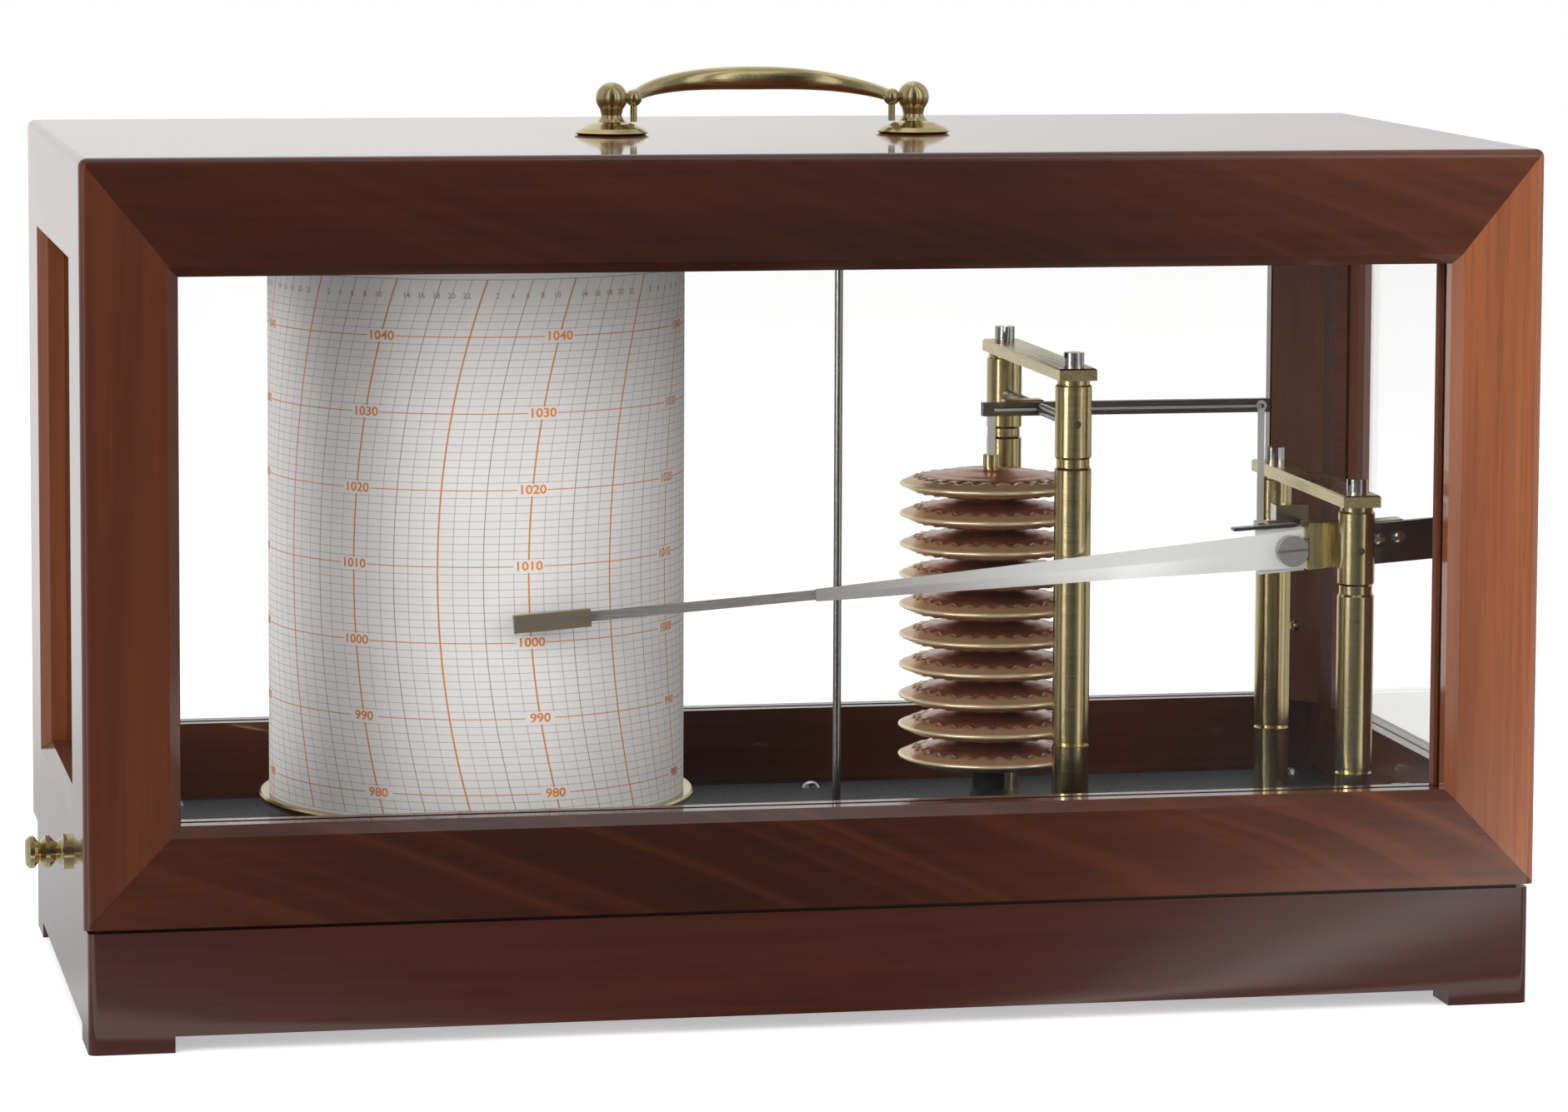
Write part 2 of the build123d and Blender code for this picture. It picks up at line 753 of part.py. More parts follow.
def make_stack():
    """The foot, the capsules one on another, and the stem on the top one."""
    foot_points = [(0, 0), (stack_foot_flange / 2, 0), (stack_foot_flange / 2, 2.5),
                   (stack_foot_diameter / 2 + 1, 3.5), (stack_foot_diameter / 2, 6),
                   (stack_foot_diameter / 2, stack_foot_height), (0, stack_foot_height)]
    save("capsule_foot", Pos(stack_x, lever_y, plate_top_z) * turned(foot_points))
    one = capsule()
    capsules = []
    for level in range(capsule_count):
        z = stack_bottom_z + capsule_pitch * (level + 0.5)
        capsules.append(Pos(stack_x, lever_y, z) * one)
    save("capsules", *capsules)
    stem = upright(stem_diameter, stack_top_z, stack_top_z + stem_height, stack_x, lever_y)
    half_slot = link_thickness / 2 + link_side_clearance
    slot = box(stack_x - stem_diameter, stack_x + stem_diameter, lever_y - half_slot, lever_y + half_slot,
               stack_top_z + stem_slot_floor, stack_top_z + stem_height + 1)
    pin_reach = stem_diameter / 2 - 0.3
    pin = along_y(link_pin, lever_y - pin_reach, lever_y + pin_reach, stack_x, stem_pin_z)
    save("capsule_stem", stem - slot + pin)


# Lever and links


def slotted_eye(hole, travel, y, z, x):
    """The hole of an eye, lengthened towards +X where a pin has to travel in it."""
    cut = along_y(hole, y - link_thickness, y + link_thickness, x, z)
    if travel:
        cut = cut + along_y(hole, y - link_thickness, y + link_thickness, x + travel, z)
        cut = cut + box(x, x + travel, y - link_thickness, y + link_thickness, z - hole / 2, z + hole / 2)
    return cut


def link(width, x, y, eyes):
    """A flat link along Z; each eye is its level, its hole and the travel of the pin in it."""
    front = y - link_thickness / 2
    back = y + link_thickness / 2
    levels = [z for z, hole, travel in eyes]
    body = box(x - width / 2, x + width / 2, front, back, min(levels), max(levels))
    for z, hole, travel in eyes:
        outside = hole + 2 * eye_wall
        body = body + along_y(outside, front, back, x, z)
        if travel:
            body = body + along_y(outside, front, back, x + travel, z)
            body = body + box(x, x + travel, front, back, z - outside / 2, z + outside / 2)
    for z, hole, travel in eyes:
        body = body - slotted_eye(hole, travel, y, z, x)
    return body


def make_lever():
    """The lever on its arbor: forked at the capsules, pinned to the long link at its far end."""
    save("lever_arbor", arbor(tall_bridge_x, tall_front_y, lever_z))
    half = lever_thickness / 2
    rise = lever_height / 2
    left = stack_x - lever_overhang
    bar = box(left, link_x + lever_overhang, lever_y - half, lever_y + half, lever_z - rise, lever_z + rise)
    half_slot = link_thickness / 2 + link_side_clearance
    fork = box(left - 1, left + fork_slot_length, lever_y - half_slot, lever_y + half_slot,
               lever_z - lever_height, lever_z + lever_height)
    bar = bar - fork + along_y(link_pin, lever_y - half, lever_y + half, stack_x, lever_z)
    pin_end = long_link_y - link_thickness / 2 - pin_overhang
    bar = bar + along_y(link_pin, pin_end, lever_y, link_x, lever_z)
    bar = bar - along_y(arbor_diameter, lever_y - lever_thickness, lever_y + lever_thickness,
                        tall_bridge_x, lever_z)
    save("lever_arm", bar)
    hub = box(tall_bridge_x - hub_left, tall_bridge_x + hub_right, lever_y + half,
              lever_y + half + hub_depth, lever_z - hub_height / 2, lever_z + hub_height / 2)
    save("lever_hub", hub - along_y(arbor_diameter, -case_depth, case_depth, tall_bridge_x, lever_z))
    running_eye = link_pin + bore
    stem_eye = link_pin + 2 * stem_eye_clearance
    crank_eye = link_pin + 2 * open_eye_clearance
    save("short_link", link(short_link_width, stack_x, lever_y,
                            [(stem_pin_z, stem_eye, 0), (lever_z, running_eye, 0)]))
    save("long_link", link(long_link_width, link_x, long_link_y,
                           [(pen_z, crank_eye, open_eye_travel), (lever_z, running_eye, 0)]))


# Pen arm


def tilt(shape):
    """Turn what was drawn level about the pen arbor into the arm's resting slope."""
    pivot = Pos(short_bridge_x, 0, pen_z)
    return pivot * Rot(0, -arm_tilt, 0) * shape


def arm_section(reach, fold):
    """The arm plate's section at a reach from the arbor; its lower half leans back by the fold."""
    share = (reach - arm_plate_right) / (arm_plate_left - arm_plate_right)
    height = arm_plate_height_right + share * (arm_plate_height_left - arm_plate_height_right)
    half = height / 2
    lean = fold * height
    front = arm_y - arm_plate_thickness / 2
    back = front + arm_plate_thickness
    corners = [(front, half), (back, half), (back, 0), (back + lean, -half), (front + lean, -half),
               (front, 0)]
    return make_face(Polyline([(-reach, y, z) for y, z in corners], close=True))


def arm_plate():
    """The tapered plate of the arm, folded along its middle for stiffness and flat at both ends."""
    fold_end = arm_plate_left - arm_flat_end
    stations = [(arm_plate_right, 0), (arm_fold_start, 0), (arm_fold_full, arm_fold),
                (fold_end - arm_fold_run, arm_fold), (fold_end, 0), (arm_plate_left, 0)]
    sections = [arm_section(reach, fold) for reach, fold in stations]
    plate = loft(sections[:2], ruled=True)
    for left, right in zip(sections[1:], sections[2:]):
        plate = plate + loft([left, right], ruled=True)
    return plate


def make_crank():
    """The pen arbor and the crank that the long link works."""
    save("pen_arbor", arbor(short_bridge_x, post_front_y, pen_z))
    front = lever_y - lever_thickness / 2
    hub = box(short_bridge_x - crank_hub_left, short_bridge_x + crank_hub_right,
              front, front + crank_hub_depth, pen_z - crank_hub_below, pen_z + crank_hub_above)
    finger = box(link_x - crank_finger / 2, short_bridge_x, front, front + crank_thickness,
                 pen_z - crank_finger / 2, pen_z + crank_finger / 2)
    pin_end = long_link_y - link_thickness / 2 - pin_overhang
    crank = hub + finger + along_y(link_pin, pin_end, front + crank_thickness, link_x, pen_z)
    save("pen_crank", crank - along_y(arbor_diameter, -case_depth, case_depth, short_bridge_x, pen_z))


def make_clamp():
    """The block on the pen arbor, its counterweight, and the gate that swings between its ears."""
    block = box(-clamp_left, clamp_right, clamp_front_y, clamp_front_y + clamp_depth,
                -clamp_height / 2, clamp_height / 2)
    gap = clamp_height / 2 - gate_ear
    throat = box(-clamp_left - 1, gate_knuckle / 2 + gate_relief - gate_reach, clamp_front_y - 1,
                 clamp_front_y + clamp_depth + 1, -gap, gap)
    block = block - throat - along_y(arbor_diameter, -case_depth, case_depth, 0, 0)
    pin = upright(gate_pin, -clamp_height / 2, clamp_height / 2, -gate_reach, gate_y)
    save("arm_clamp", tilt(block - pin))
    save("gate_pin", tilt(pin))

    knuckle_top = gap - running_gap
    front = gate_y - gate_leaf_thickness / 2
    back = gate_y + gate_leaf_thickness / 2
    leaf = box(-gate_reach - gate_leaf_length, -gate_reach, front, back, -knuckle_top, knuckle_top)
    leaf = leaf + box(-gate_reach - gate_leaf_length, -clamp_left - gate_relief, front, back,
                      -gate_leaf_height / 2, gate_leaf_height / 2)
    leaf = leaf + upright(gate_knuckle, -knuckle_top, knuckle_top, -gate_reach, gate_y)
    bore_cut = upright(gate_pin + bore, -clamp_height, clamp_height, -gate_reach, gate_y)
    save("gate_leaf", tilt(leaf - bore_cut))

    face = clamp_front_y - counter_thickness
    bar = box(counter_left, counter_right, face, clamp_front_y, -counter_height / 2, counter_height / 2)
    screws = []
    for x in (counter_screw_left, counter_screw_right):
        screws.append(Pos(x, face, counter_screw_rise) * Rot(90, 0, 0)
                      * domed_screw(counter_screw, counter_screw_shank, counter_thickness))
        bar = bar - along_y(counter_screw_shank, face - 1, clamp_front_y + 1, x, counter_screw_rise)
    save("counterweight", tilt(bar))
    save("counterweight_screws", *[tilt(screw) for screw in screws])


def make_arm():
    """The plate and the strip of the arm, the pen's holder and its nib."""
    face = arm_y - arm_plate_thickness / 2
    screw = slotted_screw(arm_screw_head, arm_screw_height, arm_screw_shank, arm_plate_thickness)
    hole = along_y(arm_screw_shank, arm_y - 1, arm_y + 1, -arm_screw_reach, 0)
    save("arm_plate", tilt(arm_plate() - hole))
    save("arm_screw", tilt(Pos(-arm_screw_reach, face, 0) * Rot(90, 0, 0) * screw))
    strip = box(strip_inset - arm_reach, arm_strip_overlap - arm_plate_left, strip_y,
                strip_y + arm_strip_thickness, -arm_strip_height / 2, arm_strip_height / 2)
    save("pen_arm", tilt(strip))
    holder_end = -arm_reach + pen_holder_length
    holder = box(-arm_reach, holder_end, strip_y - pen_holder_depth, strip_y,
                 -pen_holder_height / 2, pen_holder_height / 2)
    groove = box(-arm_reach + strip_inset, holder_end + 1, strip_y - pen_holder_depth - 1,
                 strip_y - pen_holder_depth + pen_groove, -pen_groove, pen_groove)
    save("pen_holder", tilt(holder - groove))
    paper_y = drum_y - chart_radius
    root = Rectangle(pen_nib_length, pen_nib_width)
    tip = Pos(0, 0, paper_y - pen_gap - strip_y) * Rectangle(pen_nib_tip, pen_nib_tip)
    nib = Pos(-arm_reach + pen_nib_length, strip_y, 0) * Rot(-90, 0, 0) * loft([root, tip])
    save("pen_nib", tilt(nib))


# Drum


def make_drum():
    """Spindle, drum, chart, clip, clock and nut."""
    place = Pos(drum_x, drum_y, 0)
    shoulder_z = drum_bottom_z - running_gap
    foot_z = plate_top_z + spindle_foot_height
    flange_z = drum_bottom_z + drum_flange_thickness
    spindle = [(0, plate_top_z), (spindle_foot / 2, plate_top_z), (spindle_foot / 2, foot_z),
               (clock_bore / 2, foot_z), (clock_bore / 2, shoulder_z), (spindle_shoulder / 2, shoulder_z),
               (spindle_shoulder / 2, flange_z), (spindle_diameter / 2, flange_z + 1),
               (spindle_diameter / 2, spindle_top_z), (0, spindle_top_z)]
    save("drum_spindle", place * turned(spindle))
    bore_r = spindle_shoulder / 2 + pivot_clearance
    flange = [(bore_r, drum_bottom_z), (drum_flange_radius - 0.6, drum_bottom_z),
              (drum_flange_radius, drum_bottom_z + 0.7), (drum_flange_radius, flange_z - 0.5),
              (drum_flange_radius - 0.5, flange_z), (bore_r, flange_z)]
    save("drum_flange", place * turned(flange))
    hole = spindle_diameter / 2 + pivot_clearance
    inner = drum_radius - drum_wall
    shell = [(inner, flange_z), (drum_radius, flange_z), (drum_radius, drum_top_z), (hole, drum_top_z),
             (hole, drum_top_z - drum_top_thickness), (inner, drum_top_z - drum_top_thickness)]
    save("drum_shell", place * turned(shell))
    chart = [(drum_radius, flange_z), (chart_radius, flange_z), (chart_radius, flange_z + chart_height),
             (drum_radius, flange_z + chart_height)]
    save("chart_paper", place * turned(chart))
    arc = degrees(clip_width / chart_radius)
    clip_face = make_face(Polyline([(chart_radius, 0, flange_z), (chart_radius + clip_thickness, 0, flange_z),
                                    (chart_radius + clip_thickness, 0, drum_top_z),
                                    (chart_radius, 0, drum_top_z)], close=True))
    clip = revolve(clip_face, Axis.Z, revolution_arc=arc)
    save("chart_clip", place * Rot(0, 0, clip_angle) * clip)
    clock = [(clock_bore / 2, flange_z), (clock_radius, flange_z), (clock_radius, flange_z + clock_height),
             (clock_bore / 2, flange_z + clock_height)]
    save("clock_case", place * turned(clock))
    nut_z = drum_top_z + running_gap
    nut = [(spindle_diameter / 2, nut_z), (drum_nut_diameter / 2, nut_z),
           (drum_nut_diameter / 2, nut_z + drum_nut_height), (spindle_diameter / 2, nut_z + drum_nut_height)]
    save("drum_nut", place * turned(nut))


# Pen lifter


def make_lifter():
    """The cranked wire, the bush on the plate that it turns in, and its finger tab."""
    low = plate_top_z + running_gap
    foot = plate_top_z + lifter_foot_rise
    top = plate_top_z + lifter_top_rise
    path = FilletPolyline((lifter_pivot_x, lifter_y, low), (lifter_pivot_x, lifter_y, foot),
                          (lifter_x, lifter_y, foot), (lifter_x, lifter_y, top), radius=lifter_bend)
    start = Plane(origin=path @ 0, z_dir=path % 0)
    save("lifter_rod", sweep(start * Circle(lifter_wire / 2), path=path))
    r = lifter_bush / 2
    neck = r - lifter_bush_flange
    bush = turned([(0, 0), (r, 0), (r, lifter_bush_flange), (neck, lifter_bush_flange + 0.5),
                   (neck, lifter_bush_height), (0, lifter_bush_height)])
    bush = Pos(lifter_pivot_x, lifter_y, plate_top_z) * bush
    save("lifter_bush", bush - upright(lifter_wire + bore, 0, case_width, lifter_pivot_x, lifter_y))


make_frames()
make_glass()
make_battens()
make_top()
make_handle()
make_thumbscrews()
make_base()
make_plate()
make_bridges()
make_stack()
make_lever()
make_crank()
make_clamp()
make_arm()
make_drum()
make_lifter()
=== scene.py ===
from math import cos, pi, radians, sin, sqrt

import bpy
from mathutils import Matrix, Vector


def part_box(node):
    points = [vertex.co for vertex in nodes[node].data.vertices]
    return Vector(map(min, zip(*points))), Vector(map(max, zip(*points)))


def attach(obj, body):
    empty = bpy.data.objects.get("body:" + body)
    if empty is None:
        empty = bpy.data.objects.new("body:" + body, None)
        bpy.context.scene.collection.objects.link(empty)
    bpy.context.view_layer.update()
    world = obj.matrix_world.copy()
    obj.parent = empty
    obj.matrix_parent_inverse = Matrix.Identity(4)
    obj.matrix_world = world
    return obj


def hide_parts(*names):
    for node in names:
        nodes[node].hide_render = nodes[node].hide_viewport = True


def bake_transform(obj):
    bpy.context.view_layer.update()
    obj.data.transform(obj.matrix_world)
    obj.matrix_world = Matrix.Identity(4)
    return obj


# A barograph in a glazed mahogany case, dressed over its CAD frame.
# Metres. X runs along the front, Y to the back, Z up.

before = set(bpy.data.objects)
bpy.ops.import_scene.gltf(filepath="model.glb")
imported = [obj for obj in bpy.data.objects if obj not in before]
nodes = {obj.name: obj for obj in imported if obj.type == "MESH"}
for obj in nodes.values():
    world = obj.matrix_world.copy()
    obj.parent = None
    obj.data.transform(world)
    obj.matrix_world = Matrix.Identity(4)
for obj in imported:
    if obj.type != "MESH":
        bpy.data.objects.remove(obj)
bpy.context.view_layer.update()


# Building node materials
class Shader:
    """One node material, built with short calls that each return an output socket."""

    def __init__(self, name):
        self.material = bpy.data.materials.new(name)
        self.material.use_nodes = True
        self.tree = self.material.node_tree
        self.tree.nodes.clear()
        self.output = self.tree.nodes.new("ShaderNodeOutputMaterial")
        self.skin = self.tree.nodes.new("ShaderNodeBsdfPrincipled")
        self.tree.links.new(self.skin.outputs[0], self.output.inputs["Surface"])
        self.place = self.tree.nodes.new("ShaderNodeTexCoord").outputs["Object"]

    def plug(self, value, socket):
        if isinstance(value, bpy.types.NodeSocket):
            self.tree.links.new(value, socket)
        elif isinstance(value, tuple) and len(value) == 3 and len(socket.default_value) == 4:
            socket.default_value = (*value, 1.0)
        else:
            socket.default_value = value

    def set(self, **values):
        """Sets sockets of the material's skin by name, with _ for a space."""
        for name, value in values.items():
            self.plug(value, self.skin.inputs[name.replace("_", " ").title().replace("Ior", "IOR")])

    def math(self, operation, a, b=0.0, c=0.0):
        node = self.tree.nodes.new("ShaderNodeMath")
        node.operation = operation
        for value, socket in zip((a, b, c), node.inputs):
            self.plug(value, socket)
        return node.outputs[0]

    def xyz(self):
        node = self.tree.nodes.new("ShaderNodeSeparateXYZ")
        self.plug(self.place, node.inputs[0])
        return node.outputs

    def scaled(self, scale, shift=(0.0, 0.0, 0.0)):
        node = self.tree.nodes.new("ShaderNodeMapping")
        self.plug(self.place, node.inputs["Vector"])
        node.inputs["Scale"].default_value = scale
        node.inputs["Location"].default_value = shift
        return node.outputs[0]

    def noise(self, vector, detail=3.0, rough=0.5, twist=0.0):
        node = self.tree.nodes.new("ShaderNodeTexNoise")
        self.plug(vector, node.inputs["Vector"])
        node.inputs["Scale"].default_value = 1.0
        node.inputs["Detail"].default_value = detail
        node.inputs["Roughness"].default_value = rough
        node.inputs["Distortion"].default_value = twist
        return node.outputs[0]

    def fit(self, value, low, high, to_low=0.0, to_high=1.0, smooth=False):
        """Maps low..high to to_low..to_high and holds it at the ends."""
        node = self.tree.nodes.new("ShaderNodeMapRange")
        if smooth:
            node.interpolation_type = "SMOOTHSTEP"
        for item, socket in zip((value, low, high, to_low, to_high), node.inputs):
            self.plug(item, socket)
        return node.outputs[0]

    def mix(self, share, a, b, blend="MIX"):
        node = self.tree.nodes.new("ShaderNodeMix")
        node.data_type = "RGBA"
        node.blend_type = blend
        self.plug(share, node.inputs[0])
        self.plug(a, node.inputs[6])
        self.plug(b, node.inputs[7])
        return node.outputs[2]

    def bump(self, height, strength, distance):
        node = self.tree.nodes.new("ShaderNodeBump")
        node.inputs["Strength"].default_value = strength
        node.inputs["Distance"].default_value = distance
        self.plug(height, node.inputs["Height"])
        self.tree.links.new(node.outputs[0], self.skin.inputs["Normal"])


def mixed_shaders(tree, share, first, second):
    """The first shader where share is 0, the second where it is 1."""
    node = tree.nodes.new("ShaderNodeMixShader")
    for value, socket in zip((share, first, second), node.inputs):
        tree.links.new(value, socket)
    return node.outputs[0]


def along(axis, length, across):
    """Texture scale for marks that run along an axis, with lengths as repeats per metre."""
    return tuple(length if name == axis else across for name in "xyz")


# Wood, with its grain along one axis. Marks are repeats per metre along and across the grain
cloud_marks = (2.2, 9.0)
figure_marks = (5.0, 95.0)
streak_marks = (16.0, 620.0)
pore_marks = (95.0, 2600.0)
flame_pitch = 70.0
flame_lean = (0.6, 1.5)
flame_wander = 0.05
pore_depth = 0.6
lacquer_ior = 1.6
low_gloss = 0.2
wood_relief = 0.0002
fine_relief = 0.0001


def wood(name, axis, light, middle, dark, shift=(0.0, 0.0, 0.0), flame=0.0, painted_light=None):
    """flame is the strength of slanting marks; the (from, to, factors) argument paints light: it makes the
    wood paler along X, towards the end where light falls and is reflected.
    """
    shader = Shader(name)
    slow = shader.noise(shader.scaled(along(axis, *cloud_marks), shift), detail=2.0, twist=0.6)
    figure = shader.noise(shader.scaled(along(axis, *figure_marks), shift), detail=4.0, rough=0.6, twist=0.9)
    streak = shader.noise(shader.scaled(along(axis, *streak_marks), shift), detail=3.0, rough=0.65)
    pore = shader.noise(shader.scaled(along(axis, *pore_marks), shift), detail=1.0)
    tone = shader.mix(shader.fit(slow, 0.32, 0.68, smooth=True), dark, light)
    tone = shader.mix(shader.fit(figure, 0.35, 0.7, 0.0, 0.6), tone, middle)
    tone = shader.mix(shader.fit(streak, 0.42, 0.75, 0.0, 0.45), tone, dark)
    x, _, z = shader.xyz()
    if flame:
        lean_x, lean_z = flame_lean
        upward = shader.math("MULTIPLY", z, lean_z)
        wandering = shader.math("ADD", upward, shader.math("MULTIPLY", slow, flame_wander))
        slant = shader.math("ADD", wandering, shader.math("MULTIPLY", x, lean_x))
        marks = shader.noise(shader.math("MULTIPLY", slant, flame_pitch), detail=2.0)
        strength = shader.fit(z, 0.08, 0.16, 1.0, 0.4)
        marked = shader.math("MULTIPLY", shader.fit(marks, 0.45, 0.7, 0.0, flame, smooth=True), strength)
        tone = shader.mix(marked, tone, light)
    pores = shader.fit(pore, 0.66, 0.76)
    tone = shader.mix(shader.math("MULTIPLY", pores, 0.3), tone, tuple(part * 0.5 for part in dark))
    # Painted light: the wood is made paler towards +X, standing in for light falling on and reflected from
    # its right-hand end
    if painted_light:
        start, end, factors = painted_light
        tone = shader.mix(shader.fit(x, start, end, smooth=True), tone, factors, "MULTIPLY")
    shader.set(base_color=tone, roughness=shader.fit(streak, 0.2, 0.8, 0.34, 0.46))
    shader.set(coat_weight=0.9, coat_roughness=0.06, coat_ior=lacquer_ior, specular_ior_level=low_gloss)
    height = shader.math("SUBTRACT", streak, shader.math("MULTIPLY", pores, pore_depth))
    shader.bump(height, 0.12, wood_relief)
    return shader.material


# Metal, with fine marks along one axis
def metal(name, colour, axis, rough=0.2, marks=0.06, spots=0.15, shine=1.0):
    """marks is how much the roughness varies between fine lines, and spots how far the colour dulls."""
    shader = Shader(name)
    lines = shader.noise(shader.scaled(along(axis, 30.0, 1800.0)), detail=2.0)
    cloud = shader.noise(shader.scaled((55.0, 55.0, 55.0)), detail=3.0)
    dull = tuple(part * (1.0 - spots) for part in colour)
    shader.set(base_color=shader.mix(shader.fit(cloud, 0.35, 0.7), colour, dull), metallic=shine)
    shader.set(roughness=shader.math("ADD", shader.fit(lines, 0.25, 0.75, rough - marks, rough + marks),
                                     shader.fit(cloud, 0.4, 0.8, 0.0, 0.05)))
    shader.bump(lines, 0.08, fine_relief)
    return shader.material


def shaded_metal(name, left, right, dull, bright, rough):
    """Polished metal with a painted reflection: its colour goes from the dull colour to the bright one along
    X, between two places.
    """
    shader = Shader(name)
    x, _, _ = shader.xyz()
    lines = shader.noise(shader.scaled(along("x", 18.0, 2200.0)), detail=2.0)
    # Painted reflection: the colour runs from dark to pale along X, standing in for what the polished metal
    # mirrors
    share = shader.fit(x, left, right, smooth=True)
    shader.set(base_color=shader.mix(share, dull, bright), metallic=0.45)
    shader.set(roughness=shader.fit(lines, 0.25, 0.75, rough - 0.04, rough + 0.04))
    shader.bump(lines, 0.05, fine_relief)
    return shader.material


def turned_metal(name, colour):
    """Metal turned about an upright axis, so its marks are rings."""
    rough = 0.2
    marks = 0.05
    spots = 0.12
    shader = Shader(name)
    rings = shader.noise(shader.scaled((14.0, 14.0, 2600.0)), detail=2.0)
    cloud = shader.noise(shader.scaled((70.0, 70.0, 40.0)), detail=3.0)
    dull = tuple(part * (1.0 - spots) for part in colour)
    shader.set(base_color=shader.mix(shader.fit(cloud, 0.35, 0.7), colour, dull), metallic=1.0)
    shader.set(roughness=shader.fit(rings, 0.25, 0.75, rough - marks, rough + marks))
    shader.bump(rings, 0.07, fine_relief)
    return shader.material


def paint(name, colour, rough):
    """Flat paint or ink, a little paler in clouds."""
    shader = Shader(name)
    fine = shader.noise(shader.scaled((900.0, 900.0, 900.0)), detail=2.0)
    cloud = shader.noise(shader.scaled((24.0, 24.0, 24.0)), detail=3.0)
    paler = tuple(part * 1.5 for part in colour)
    shader.set(base_color=shader.mix(shader.fit(cloud, 0.3, 0.7, 0.0, 0.4), colour, paler))
    shader.set(roughness=shader.fit(fine, 0.3, 0.7, rough - 0.05, rough + 0.05))
    shader.set(specular_ior_level=low_gloss)
    shader.bump(fine, 0.02, 0.00005)
    return shader.material


def pane(name):
    """Clear glass that lets the lamps through."""
    shader = Shader(name)
    wave = shader.noise(shader.scaled((9.0, 9.0, 9.0)), detail=1.0)
    shader.set(base_color=(0.975, 0.978, 0.972), roughness=0.0, ior=1.45, transmission_weight=1.0)
    shader.bump(wave, 0.02, 0.001)
    path = shader.tree.nodes.new("ShaderNodeLightPath")
    clear = shader.tree.nodes.new("ShaderNodeBsdfTransparent")
    shadow_ray = path.outputs["Is Shadow Ray"]
    both = mixed_shaders(shader.tree, shadow_ray, shader.skin.outputs[0], clear.outputs[0])
    shader.tree.links.new(both, shader.output.inputs["Surface"])
    return shader.material


# Chart: a week on the drum, with arcs for the hours and lines for the pressure
paper_low, paper_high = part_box("chart_paper")
drum_x = (paper_low.x + paper_high.x) / 2
drum_y = (paper_low.y + paper_high.y) / 2
paper_radius = (paper_high.x - paper_low.x) / 2
clip_angle = radians(70.0)
day = radians(49.1) * paper_radius
hour = day / 24
midnight = radians(181.4) * paper_radius
arc_radius = 0.212
arc_middle = 0.1055
print_start = radians(8.15) * paper_radius
print_end = radians(351.85) * paper_radius
pressure_step = 0.00184
label_step = 10 * pressure_step
pressure_first = 0.0465
pressure_last = 0.1699
top_label = 0.1625
figure_row = 0.1723
border = 0.1762
ink_orange = (0.62, 0.21, 0.045)
ink_grey = (0.25, 0.195, 0.17)
label_half_width = 0.0038
label_half_height = 0.0015
label_height = 0.0021
label_spread = 1.15
hour_height = 0.0013
hour_margin = 0.001
top_pressure = 1040
label_rows = 7


def chart():
    shader = Shader("chart_print")
    x, y, z = shader.xyz()
    across = shader.math("SUBTRACT", x, drum_x)
    back = shader.math("SUBTRACT", y, drum_y)
    angle = shader.math("ARCTAN2", back, across)
    turn = shader.math("WRAP", shader.math("SUBTRACT", angle, clip_angle), 2 * pi, 0.0)
    run = shader.math("MULTIPLY", turn, paper_radius)
    drop = shader.math("SUBTRACT", z, arc_middle)
    flat = shader.math("SQRT", shader.math("SUBTRACT", arc_radius ** 2, shader.math("MULTIPLY", drop, drop)))
    along_time = shader.math("SUBTRACT", run, shader.math("SUBTRACT", arc_radius, flat))

    def off_line(value, pitch, first):
        """Distance from the nearest of a row of lines."""
        steps = shader.math("ADD", shader.math("DIVIDE", shader.math("SUBTRACT", value, first), pitch), 0.5)
        share = shader.math("ABSOLUTE", shader.math("SUBTRACT", shader.math("FRACT", steps), 0.5))
        return shader.math("MULTIPLY", share, pitch)

    def line(distance, width):
        return shader.fit(distance, width * 0.35, width * 0.65, 1.0, 0.0)

    def between(value, low, high):
        return shader.math("MULTIPLY", shader.math("GREATER_THAN", value, low),
                           shader.math("LESS_THAN", value, high))

    def times(*values):
        result = values[0]
        for value in values[1:]:
            result = shader.math("MULTIPLY", result, value)
        return result

    noon = midnight + 12 * hour
    near_noon = shader.math("LESS_THAN", off_line(along_time, day, noon), label_half_width)
    near_ten = shader.math("LESS_THAN", off_line(z, label_step, top_label), label_half_height)
    below_top = shader.math("LESS_THAN", z, top_label + 2 * label_half_height)
    open_paper = shader.math("SUBTRACT", 1.0, times(near_noon, near_ten, below_top))
    printed = between(run, print_start, print_end)
    ruled = times(printed, between(z, pressure_first, pressure_last))
    drawn = times(printed, between(z, pressure_first, border))
    tone = shader.noise(shader.scaled((30.0, 30.0, 30.0)), detail=3.0)
    sheet = shader.mix(shader.fit(tone, 0.3, 0.7), (0.68, 0.665, 0.66), (0.72, 0.71, 0.705))
    # Each line's mask from its spacing and width, where it is drawn, its ink and its strength
    rows = [
        (line(off_line(along_time, 2 * hour, midnight), 0.0002), drawn, ink_grey, 0.6),
        (line(off_line(along_time, 6 * hour, midnight), 0.00024), drawn, ink_grey, 0.75),
        (line(off_line(z, pressure_step, top_label), 0.00019), ruled, ink_grey, 0.55),
        (line(off_line(z, label_step, top_label), 0.00028), ruled, ink_orange, 0.8),
        (line(off_line(along_time, 12 * hour, midnight), 0.00044), drawn, ink_orange, 0.9),
        (line(shader.math("ABSOLUTE", shader.math("SUBTRACT", z, border)), 0.0003), printed, ink_grey, 0.5),
    ]
    for mask, area, ink, weight in rows:
        sheet = shader.mix(times(mask, area, open_paper, weight), sheet, ink)
    fibre = shader.noise(shader.scaled((1500.0, 1500.0, 1500.0)), detail=2.0)
    shader.set(base_color=sheet, roughness=0.78)
    shader.bump(fibre, 0.05, 0.0001)
    return shader.material


def time_shift(z):
    """How far an arc stands to the right of its middle at a height."""
    return arc_radius - sqrt(arc_radius ** 2 - (z - arc_middle) ** 2)


